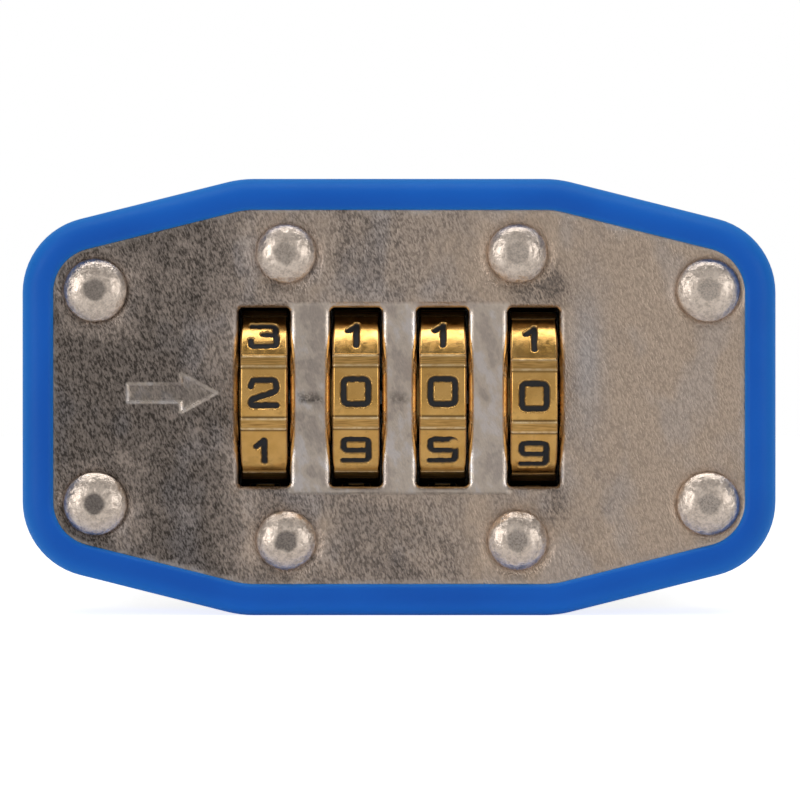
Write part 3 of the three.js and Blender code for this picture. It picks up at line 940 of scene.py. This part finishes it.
# How far each wheel is turned past its digit, in degrees.
DIAL_PLAY = (2.5, 3.2, 3.2, 0.5)
DIAL_AXIS_Y = 5.6
DIAL_WIDTH = 3.4
DIAL_EDGE = 0.13
DIAL_COLUMNS = 66
DIAL_BORE = 3.85
KEYWAY_HALF = 0.9
KEYWAY_REACH = 4.75
FACETS = 10
FACET_APOTHEM = 7.14
FACET_CROWN = 0.12
FOOT_ANGLE = 13.8
LAND_ANGLE = 14.8
LAND_RADIUS = 7.42
FACET_STEPS = 67
RIB_STEPS = 6
STROKE_HALF = 0.2
GROOVE_DEPTH = 0.16
WORN_WHEEL = 2
WORN_DIGIT = 9

# The turned groove in a wheel's sides: depths and radii.
SIDE_GROOVE = ((0.0, 5.6), (0.25, 5.8), (0.25, 6.3), (0.0, 6.5))

# Middle lines of the numerals: corners in millimetres, with the radius they turn at, looped or not.
GLYPHS = {
    0: [([(-0.9, 0.92), (0.9, 0.92), (0.9, -0.92), (-0.9, -0.92)], 0.4, True)],
    1: [([(0.03, 0.95), (0.03, -0.95)], 0, False), ([(0.03, 0.9), (-0.55, 0.4)], 0, False)],
    2: [([(-0.92, 0.45), (-0.8, 0.92), (0.9, 0.92), (0.95, 0.1), (-0.9, -0.5), (-0.94, -0.92), (0.95, -0.92)],
         0.3, False)],
    3: [([(-0.9, 0.92), (0.85, 0.92), (0.85, 0.1), (-0.05, 0.1)], 0.3, False),
        ([(0.3, 0.1), (0.93, 0.05), (0.93, -0.92), (-0.95, -0.92), (-0.95, -0.45)], 0.35, False)],
    4: [([(0.4, -0.95), (0.4, 0.92), (-0.9, -0.35), (0.95, -0.35)], 0.1, False)],
    5: [([(0.88, 0.92), (-0.85, 0.92), (-0.85, 0.1), (0.93, 0.1), (0.93, -0.92), (-0.93, -0.92)],
         0.3, False)],
    6: [([(0.88, 0.92), (-0.9, 0.92), (-0.9, -0.92), (0.9, -0.92), (0.9, 0.05), (-0.9, 0.05)], 0.3, False)],
    7: [([(-0.93, 0.92), (0.93, 0.92), (-0.1, -0.95)], 0.15, False)],
    8: [([(-0.8, 0.92), (0.8, 0.92), (0.8, 0.05), (-0.8, 0.05)], 0.3, True),
        ([(-0.92, 0.05), (0.92, 0.05), (0.92, -0.92), (-0.92, -0.92)], 0.35, True)],
    9: [([(-0.9, 0.92), (0.9, 0.92), (0.9, -0.02), (-0.9, -0.02)], 0.34, True),
        ([(0.9, 0.3), (0.9, -0.92), (-0.93, -0.92)], 0.34, False)],
}


def eased_path(corners, radius, looped):
    """A line through the corners that turns each of them on an arc."""
    corners = [np.array(corner, float) for corner in corners]
    count = len(corners)
    path = []
    for i, corner in enumerate(corners):
        if not looped and i in (0, count - 1):
            path.append(corner)
            continue
        before = corners[i - 1] - corner
        after = corners[(i + 1) % count] - corner
        reach = min(radius, np.linalg.norm(before) / 2, np.linalg.norm(after) / 2)
        start = corner + before / np.linalg.norm(before) * reach
        end = corner + after / np.linalg.norm(after) * reach
        for share in np.linspace(0, 1, 6):
            path.append((1 - share) ** 2 * start + 2 * share * (1 - share) * corner + share ** 2 * end)
    if looped:
        path.append(path[0])
    return np.array(path)


def numeral_distance(digit, points):
    """How far each point of a facet is from the numeral's middle line."""
    paths = [eased_path(*stroke) for stroke in GLYPHS[digit]]
    return np.min([distance_to_path(points, path) for path in paths], axis=0)


def wheel_angles():
    """Angles of one facet's profile, from the middle of one rib to the middle of the next, in degrees."""
    facet = np.degrees(np.arctan(np.linspace(-1, 1, FACET_STEPS) * math.tan(math.radians(FOOT_ANGLE))))
    rib = np.linspace(LAND_ANGLE, 180 / FACETS, RIB_STEPS)
    riser = (FOOT_ANGLE + LAND_ANGLE) / 2
    return np.concatenate([-rib[::-1], [-riser], facet, [riser], rib[:-1]])


def wheel_radius(angles):
    """The wheel's radius at angles from the middle of a facet, in degrees."""
    share = np.abs(angles) / FOOT_ANGLE
    flat = (FACET_APOTHEM + FACET_CROWN * (1 - share ** 2)) / np.cos(np.radians(angles))
    foot = FACET_APOTHEM / math.cos(math.radians(FOOT_ANGLE))
    rise = np.clip((np.abs(angles) - FOOT_ANGLE) / (LAND_ANGLE - FOOT_ANGLE), 0, 1)
    return np.where(share <= 1, flat, foot + (LAND_RADIUS - foot) * rise)


def bore_radius(turn):
    """The radius of the wheel's bore with its two keyways, at angles from the front."""
    slot = np.minimum(KEYWAY_HALF / np.maximum(np.abs(np.cos(turn)), 1e-6),
                      KEYWAY_REACH / np.maximum(np.abs(np.sin(turn)), 1e-6))
    return np.maximum(DIAL_BORE, slot)


def pressed_numeral(number, place, across, up):
    """How far the groove is cut and filled with paint, from 0 to 1, over one facet of a wheel."""
    digit = (DIGITS_SHOWN[number] + place) % FACETS
    where = np.column_stack([across.ravel(), up.ravel()])
    uneven = np.column_stack([where, np.full(len(where), 3.0 * place + 40 * number)])
    near = numeral_distance(digit, where) + 0.045 * ripple(uneven, 0.35, number)
    near = near.reshape(across.shape)
    cut = fade(near, STROKE_HALF - 0.05, STROKE_HALF + 0.09)
    ink = fade(near, STROKE_HALF - 0.01, STROKE_HALF + 0.07)
    if number == WORN_WHEEL and digit == WORN_DIGIT:
        wear_and_glint = fade(np.hypot(across - 0.85, up - 0.5), 0.3, 0.5)
        cut = cut * (1 - 0.6 * wear_and_glint)
        ink = ink * (1 - wear_and_glint)
    return cut, ink


def wheel_surface(number, local, columns):
    """Radius and ink all round a wheel, one row for each column across its width."""
    across, up = np.meshgrid(columns, FACET_APOTHEM * np.tan(np.radians(local)), indexing="ij")
    on_facet = np.abs(local) < FOOT_ANGLE
    radii = []
    inks = []
    for place in range(FACETS):
        cut, ink = pressed_numeral(number, place, across, up)
        radii.append(wheel_radius(local) - GROOVE_DEPTH * cut * on_facet)
        inks.append(ink * on_facet)
    return np.hstack(radii), np.hstack(inks)


def wheel_side(bore, rim):
    """Places across and radii of a wheel's side, from its bore over the groove to its eased edge."""
    edge = -DIAL_WIDTH / 2
    groove = [(edge + depth, np.full(len(rim), radius)) for depth, radius in SIDE_GROOVE]
    return [(edge, bore), *groove, (edge, rim - DIAL_EDGE), (edge + DIAL_EDGE * 0.4, rim - DIAL_EDGE * 0.35)]


def paint_wheel(piece, local, ink, side_rows):
    """The ink, the brushing, the grime and painted shade, and the painted glints that dial_brass() reads."""
    blank = np.zeros((side_rows, ink.shape[1]))
    paint(piece, "ink", np.vstack([blank, ink, blank]).ravel())
    repeats = FACETS * (len(ink) + 2 * side_rows)
    away = np.abs(local)
    paint(piece, "brushed", np.tile(smooth_step(away, LAND_ANGLE - 0.2, LAND_ANGLE + 0.3), repeats))
    # Grime and painted shade in a band at the foot of each rib.
    paint(piece, "grime_and_shade", np.tile(np.exp(-((away - FOOT_ANGLE - 0.4) / 0.7) ** 2), repeats))
    # Painted glint along both edges of each rib's land.
    paint(piece, "wear_and_glint", np.tile(fade(np.abs(away - LAND_ANGLE - 0.3), 0.2, 0.6), repeats))


def dial(number, material):
    """A brass wheel with ten numbered facets between raised, brushed ribs."""
    local = wheel_angles()
    turn = np.radians(np.concatenate([local + 360 / FACETS * place for place in range(FACETS)]))
    columns = np.linspace(-DIAL_WIDTH / 2 + DIAL_EDGE, DIAL_WIDTH / 2 - DIAL_EDGE, DIAL_COLUMNS)
    radius, ink = wheel_surface(number, local, columns)
    side = wheel_side(bore_radius(turn), np.tile(wheel_radius(local), FACETS))
    rows = [*side, *zip(columns, radius), *[(-x, r) for x, r in side[::-1]]]
    play = math.radians(DIAL_PLAY[number])

    def ring(x, r):
        across = np.full(len(turn), DIAL_CENTRES[number] + x)
        return np.column_stack([across, DIAL_AXIS_Y - r * np.cos(turn + play), r * np.sin(turn + play)])

    builder = Builder()
    made = builder.rings([ring(x, r) for x, r in rows])
    builder.bridge(made[-1], made[0])
    piece = make_piece(f"number_wheel_{number + 1}", builder, material, f"dial_{number + 1}",
                       f"dial_wheel_{number + 1}", 32)
    paint_wheel(piece, local, ink, len(side))


# --- Bumper ---

BUMPER_WALL = 2.2
BUMPER_FIT = 0.12
BUMPER_LIP = -0.13
BUMPER_PROUD = 0.5
BUMPER_DEPTH = 12.0
OUTER_ROUND = 1.5
INNER_ROUND = 0.45


def bumper_section():
    """Distance out from the body and depth along the ring's section, from its back up the inside."""
    front = -BUMPER_PROUD
    section = [(BUMPER_FIT, y) for y in np.linspace(BUMPER_DEPTH, 1.0, 6)]
    section += [(BUMPER_FIT, 0.3), (BUMPER_LIP, -0.02)]
    section += [(BUMPER_LIP + down, front + short) for short, down in eased_edge(INNER_ROUND, 10)[::2]]
    section += [(BUMPER_WALL - short, front + down) for short, down in eased_edge(OUTER_ROUND, 10)]
    section += [(BUMPER_WALL, y) for y in np.linspace(front + OUTER_ROUND, BUMPER_DEPTH - 0.5, 8)[1:]]
    return section + [(BUMPER_WALL - 0.15, BUMPER_DEPTH - 0.15), (BUMPER_WALL - 0.5, BUMPER_DEPTH)]


def bumper(material):
    """A soft ring round the dial end, round along its outer front edge."""
    rings = []
    for grow, y in bumper_section():
        ring = at_depth(body_outline(grow), y)
        ring[:, 1] += 0.07 * ripple(ring, 7.0, 3) * smooth_step(grow, 0.2, 1.2)
        rings.append(ring)
    builder = Builder()
    made = builder.rings(rings)
    builder.bridge(made[-1], made[0])
    make_piece("bumper_ring", builder, material, "case", "bumper", 50)


# --- Laminations ---

LAMINATION_EDGE = 0.28


def lamination(number, material):
    """One punched plate of the body, eased along its rim, no two quite the same size."""
    name = f"lamination_{number:02d}"
    low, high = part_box(name)
    front, back = (low.y - FACE_Y) / MM, (high.y - FACE_Y) / MM
    holes = [smoothed(loop) for loop in cad_loops(name)[1:]]
    inset = 0.05 + 0.05 * abs(noise.noise(Vector((number * 1.7, 2.3, 0.4))))
    builder = Builder()
    fill(builder, body_outline(-inset - LAMINATION_EDGE), holes, front)
    rims = [at_depth(body_outline(-inset - short), front + down)
            for short, down in eased_edge(LAMINATION_EDGE, 5)]
    rims += [at_depth(body_outline(-inset - 0.04), back - 0.12), at_depth(body_outline(-inset - 0.16), back)]
    builder.rings(rims)
    for hole in holes:
        builder.rings([at_depth(hole, front), at_depth(hole, back)])
    fill(builder, body_outline(-inset - 0.16), holes, back)
    make_piece(f"body_plate_{number:02d}", builder, material, "case", name)


# --- Shackle and its spring ---

SHACKLE_RADIUS = 4.0
SHACKLE_BEVEL = 0.7
SHACKLE_SIDES = 56
LEG_X = 16.0
CROWN_Y = 69.0
TOE_TIP_Y = 47.5
HEEL_END_Y = 31.5
NECK_START = 34.7
NECK_END = 37.1
NECK_RADIUS = 2.6
NECK_STEP = 0.05
SPRING_START = 14.85
SPRING_END = 30.9
SPRING_RADIUS = 3.05
SPRING_WIRE = 0.35
SPRING_TURNS = 8
SPRING_STEPS = 26
SPRING_SIDES = 10

# Share of the turn and of the height that each closed end of the coil takes up.
SPRING_CLOSED = 0.14


def headings(path):
    """The direction of a path at each of its points."""
    ahead = np.gradient(path, axis=0)
    return ahead / np.linalg.norm(ahead, axis=1)[:, None]


def swept(path, sideways, radii, sides):
    """A round bar along a path, given a direction square to it and a radius at each of its points."""
    upright = np.cross(headings(path), sideways)
    angles = np.linspace(0, 2 * math.pi, sides + 1)[:-1]
    rings = [centre + radius * (np.outer(np.cos(angles), side) + np.outer(np.sin(angles), up))
             for centre, radius, side, up in zip(path, radii, sideways, upright)]
    builder = Builder()
    builder.close(builder.rings(rings))
    return builder


def shackle(material):
    """A bright round bar bent over its crown, with the fork's groove in its heel and an eased toe."""
    heel = [(HEEL_END_Y, SHACKLE_RADIUS - SHACKLE_BEVEL), (HEEL_END_Y + SHACKLE_BEVEL, SHACKLE_RADIUS),
            (NECK_START, SHACKLE_RADIUS), (NECK_START + NECK_STEP, NECK_RADIUS),
            (NECK_END - NECK_STEP, NECK_RADIUS)]
    bar = [(LEG_X, y, radius) for y, radius in heel]
    bar += [(LEG_X, y, SHACKLE_RADIUS) for y in np.linspace(NECK_END, CROWN_Y, 14)]
    bar += [(LEG_X * math.cos(turn), CROWN_Y + LEG_X * math.sin(turn), SHACKLE_RADIUS)
            for turn in np.linspace(0, math.pi, 73)[1:]]
    bar += [(-LEG_X, y, SHACKLE_RADIUS) for y in np.linspace(CROWN_Y, TOE_TIP_Y + SHACKLE_BEVEL, 12)[1:]]
    bar += [(-LEG_X, TOE_TIP_Y + short, SHACKLE_RADIUS - down)
            for short, down in eased_edge(SHACKLE_BEVEL, 7)[1:]]
    bar = np.array(bar)
    path = bar * (1, 1, 0)
    ahead = headings(path)
    sideways = np.column_stack([ahead[:, 1], -ahead[:, 0], np.zeros(len(path))])
    builder = swept(path, sideways, bar[:, 2], SHACKLE_SIDES)
    make_piece("shackle_bar", builder, material, "shackle", "shackle", 35)


def shackle_spring(material):
    """A close-ended coil under the heel, on a mesh of its own; the real coil closes up as the shackle is
    pushed in.
    """
    share = np.linspace(0, 1, SPRING_TURNS * SPRING_STEPS + 1)
    half = SPRING_CLOSED / 2
    rise = half * (smooth_step(share, 0.0, SPRING_CLOSED) + smooth_step(share, 1 - SPRING_CLOSED, 1.0))
    rise += (1 - SPRING_CLOSED) * np.clip((share - half) / (1 - SPRING_CLOSED), 0, 1)
    turn = share * SPRING_TURNS * 2 * math.pi
    outward = np.column_stack([np.cos(turn), np.zeros(len(turn)), np.sin(turn)])
    path = SPRING_RADIUS * outward + (LEG_X, SPRING_START, 0)
    path[:, 1] += (SPRING_END - SPRING_START) * rise
    builder = swept(path, outward, np.full(len(path), SPRING_WIRE), SPRING_SIDES)
    piece = make_piece("heel_spring", builder, material, "case", "shackle_spring", 60)
    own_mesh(piece)


# --- Stage ---

# Distances in metres.
FLOOR_REACH = 1.5
CAMERA_AWAY = 0.326
CAMERA_SHIFT_X = 0.00007
CAMERA_SHIFT_Z = -0.00022


def soft_light(name, place, width, height, brightness):
    """A soft light aimed at the dial face, in metres; at a brightness of 1 it looks plain white."""
    aim = Vector((0, FACE_Y, MID_Z))
    light = bpy.data.lights.new(name, "AREA")
    light.shape = "RECTANGLE"
    light.size = width
    light.size_y = height
    light.energy = brightness * math.pi * width * height
    lamp = link(name, light)
    lamp.location = place
    lamp.visible_camera = False
    lamp.rotation_euler = (aim - Vector(place)).to_track_quat("-Z", "Y").to_euler()


def light():
    soft_light("top_softbox", (0, -0.118, 0.52), 0.8, 0.10, 4.0)
    soft_light("left_softbox", (-0.42, -0.43, 0.14), 0.24, 0.36, 2.5)
    soft_light("right_softbox", (0.42, -0.43, 0.10), 0.24, 0.36, 1.8)


def floor():
    """A pale floor that the camera sees as white and the lock sees as a softer grey."""
    mesh = bpy.data.meshes.new("floor")
    corners = [(x * FLOOR_REACH, y * FLOOR_REACH, 0) for x, y in ((-1, -1), (1, -1), (1, 1), (-1, 1))]
    mesh.from_pydata(corners, [], [(0, 1, 2, 3)])
    material, tree, shader = new_material("floor_white")
    cloud = grain(tree, 400.0, 1.0)
    shade = blend(tree, cloud, 0.84, 0.88)
    seen = add(tree, "ShaderNodeLightPath").outputs["Is Camera Ray"]
    glow = linear(tree, seen, 0.85, 0.1)
    set_inputs(tree, shader, Base_Color=shade, Roughness=0.9, Emission_Color=shade, Emission_Strength=glow)
    mesh.materials.append(material)
    link("floor", mesh)


def world():
    """White where the camera looks past the lock; elsewhere a grey room, darker round the sides."""
    surroundings = bpy.data.worlds.new("studio")
    bpy.context.scene.world = surroundings
    surroundings.use_nodes = True
    tree = surroundings.node_tree
    background = tree.nodes["Background"]
    seen = add(tree, "ShaderNodeLightPath").outputs["Is Camera Ray"]
    direction = add(tree, "ShaderNodeTexCoord").outputs["Generated"]
    depth = add(tree, "ShaderNodeSeparateXYZ", {"Vector": direction}).outputs["Y"]
    facing = linear(tree, depth, 0.5, 0.5)
    room = ramp(tree, facing, [(0.10, 0.44), (0.24, 0.20), (0.5, 0.10), (0.8, 0.35)])
    tree.links.new(mix(tree, seen, room, 1.0), background.inputs["Color"])


def camera():
    """A long lens square on to the dial face."""
    data = bpy.data.cameras.new("camera")
    data.lens = 200.0
    data.sensor_width = 36.0
    data.clip_start = 0.01
    data.clip_end = 10
    eye = link("camera", data)
    eye.location = (CAMERA_SHIFT_X, FACE_Y - CAMERA_AWAY, MID_Z + CAMERA_SHIFT_Z)
    eye.rotation_euler = (math.pi / 2, 0, 0)
    bpy.context.scene.camera = eye


# --- Assembly ---

def dress(node, material):
    """A CAD node shown as it is, in its own material."""
    shown = frame["nodes"][node]
    shown.data.materials.clear()
    shown.data.materials.append(material)


def build():
    nickel = face_nickel()
    face_plate(nickel)
    cap_plate(nickel)
    hammered = rivet_nickel()
    for number in range(1, 9):
        rivet(number, hammered)
    brass = dial_brass()
    for number in range(4):
        dial(number, brass)
    bumper(blue_plastic())
    steel = lamination_steel()
    for number in range(1, 18):
        lamination(number, steel)
    shackle(shackle_chrome())
    spring_steel = inner_metal("spring_steel", (0.28, 0.27, 0.26), (0.45, 0.44, 0.42), 0.32)
    sleeve_brass = inner_metal("sleeve_brass", (0.45, 0.28, 0.09), (0.62, 0.41, 0.15), 0.34)
    shackle_spring(spring_steel)
    for name in ("dial_spindle", "detent_spring", "locking_comb", "shackle_fork"):
        dress(name, spring_steel)
    for number in range(1, 5):
        dress(f"dial_sleeve_{number}", sleeve_brass)


build()
floor()
world()
light()
camera()
bpy.context.scene.view_settings.view_transform = "Standard"
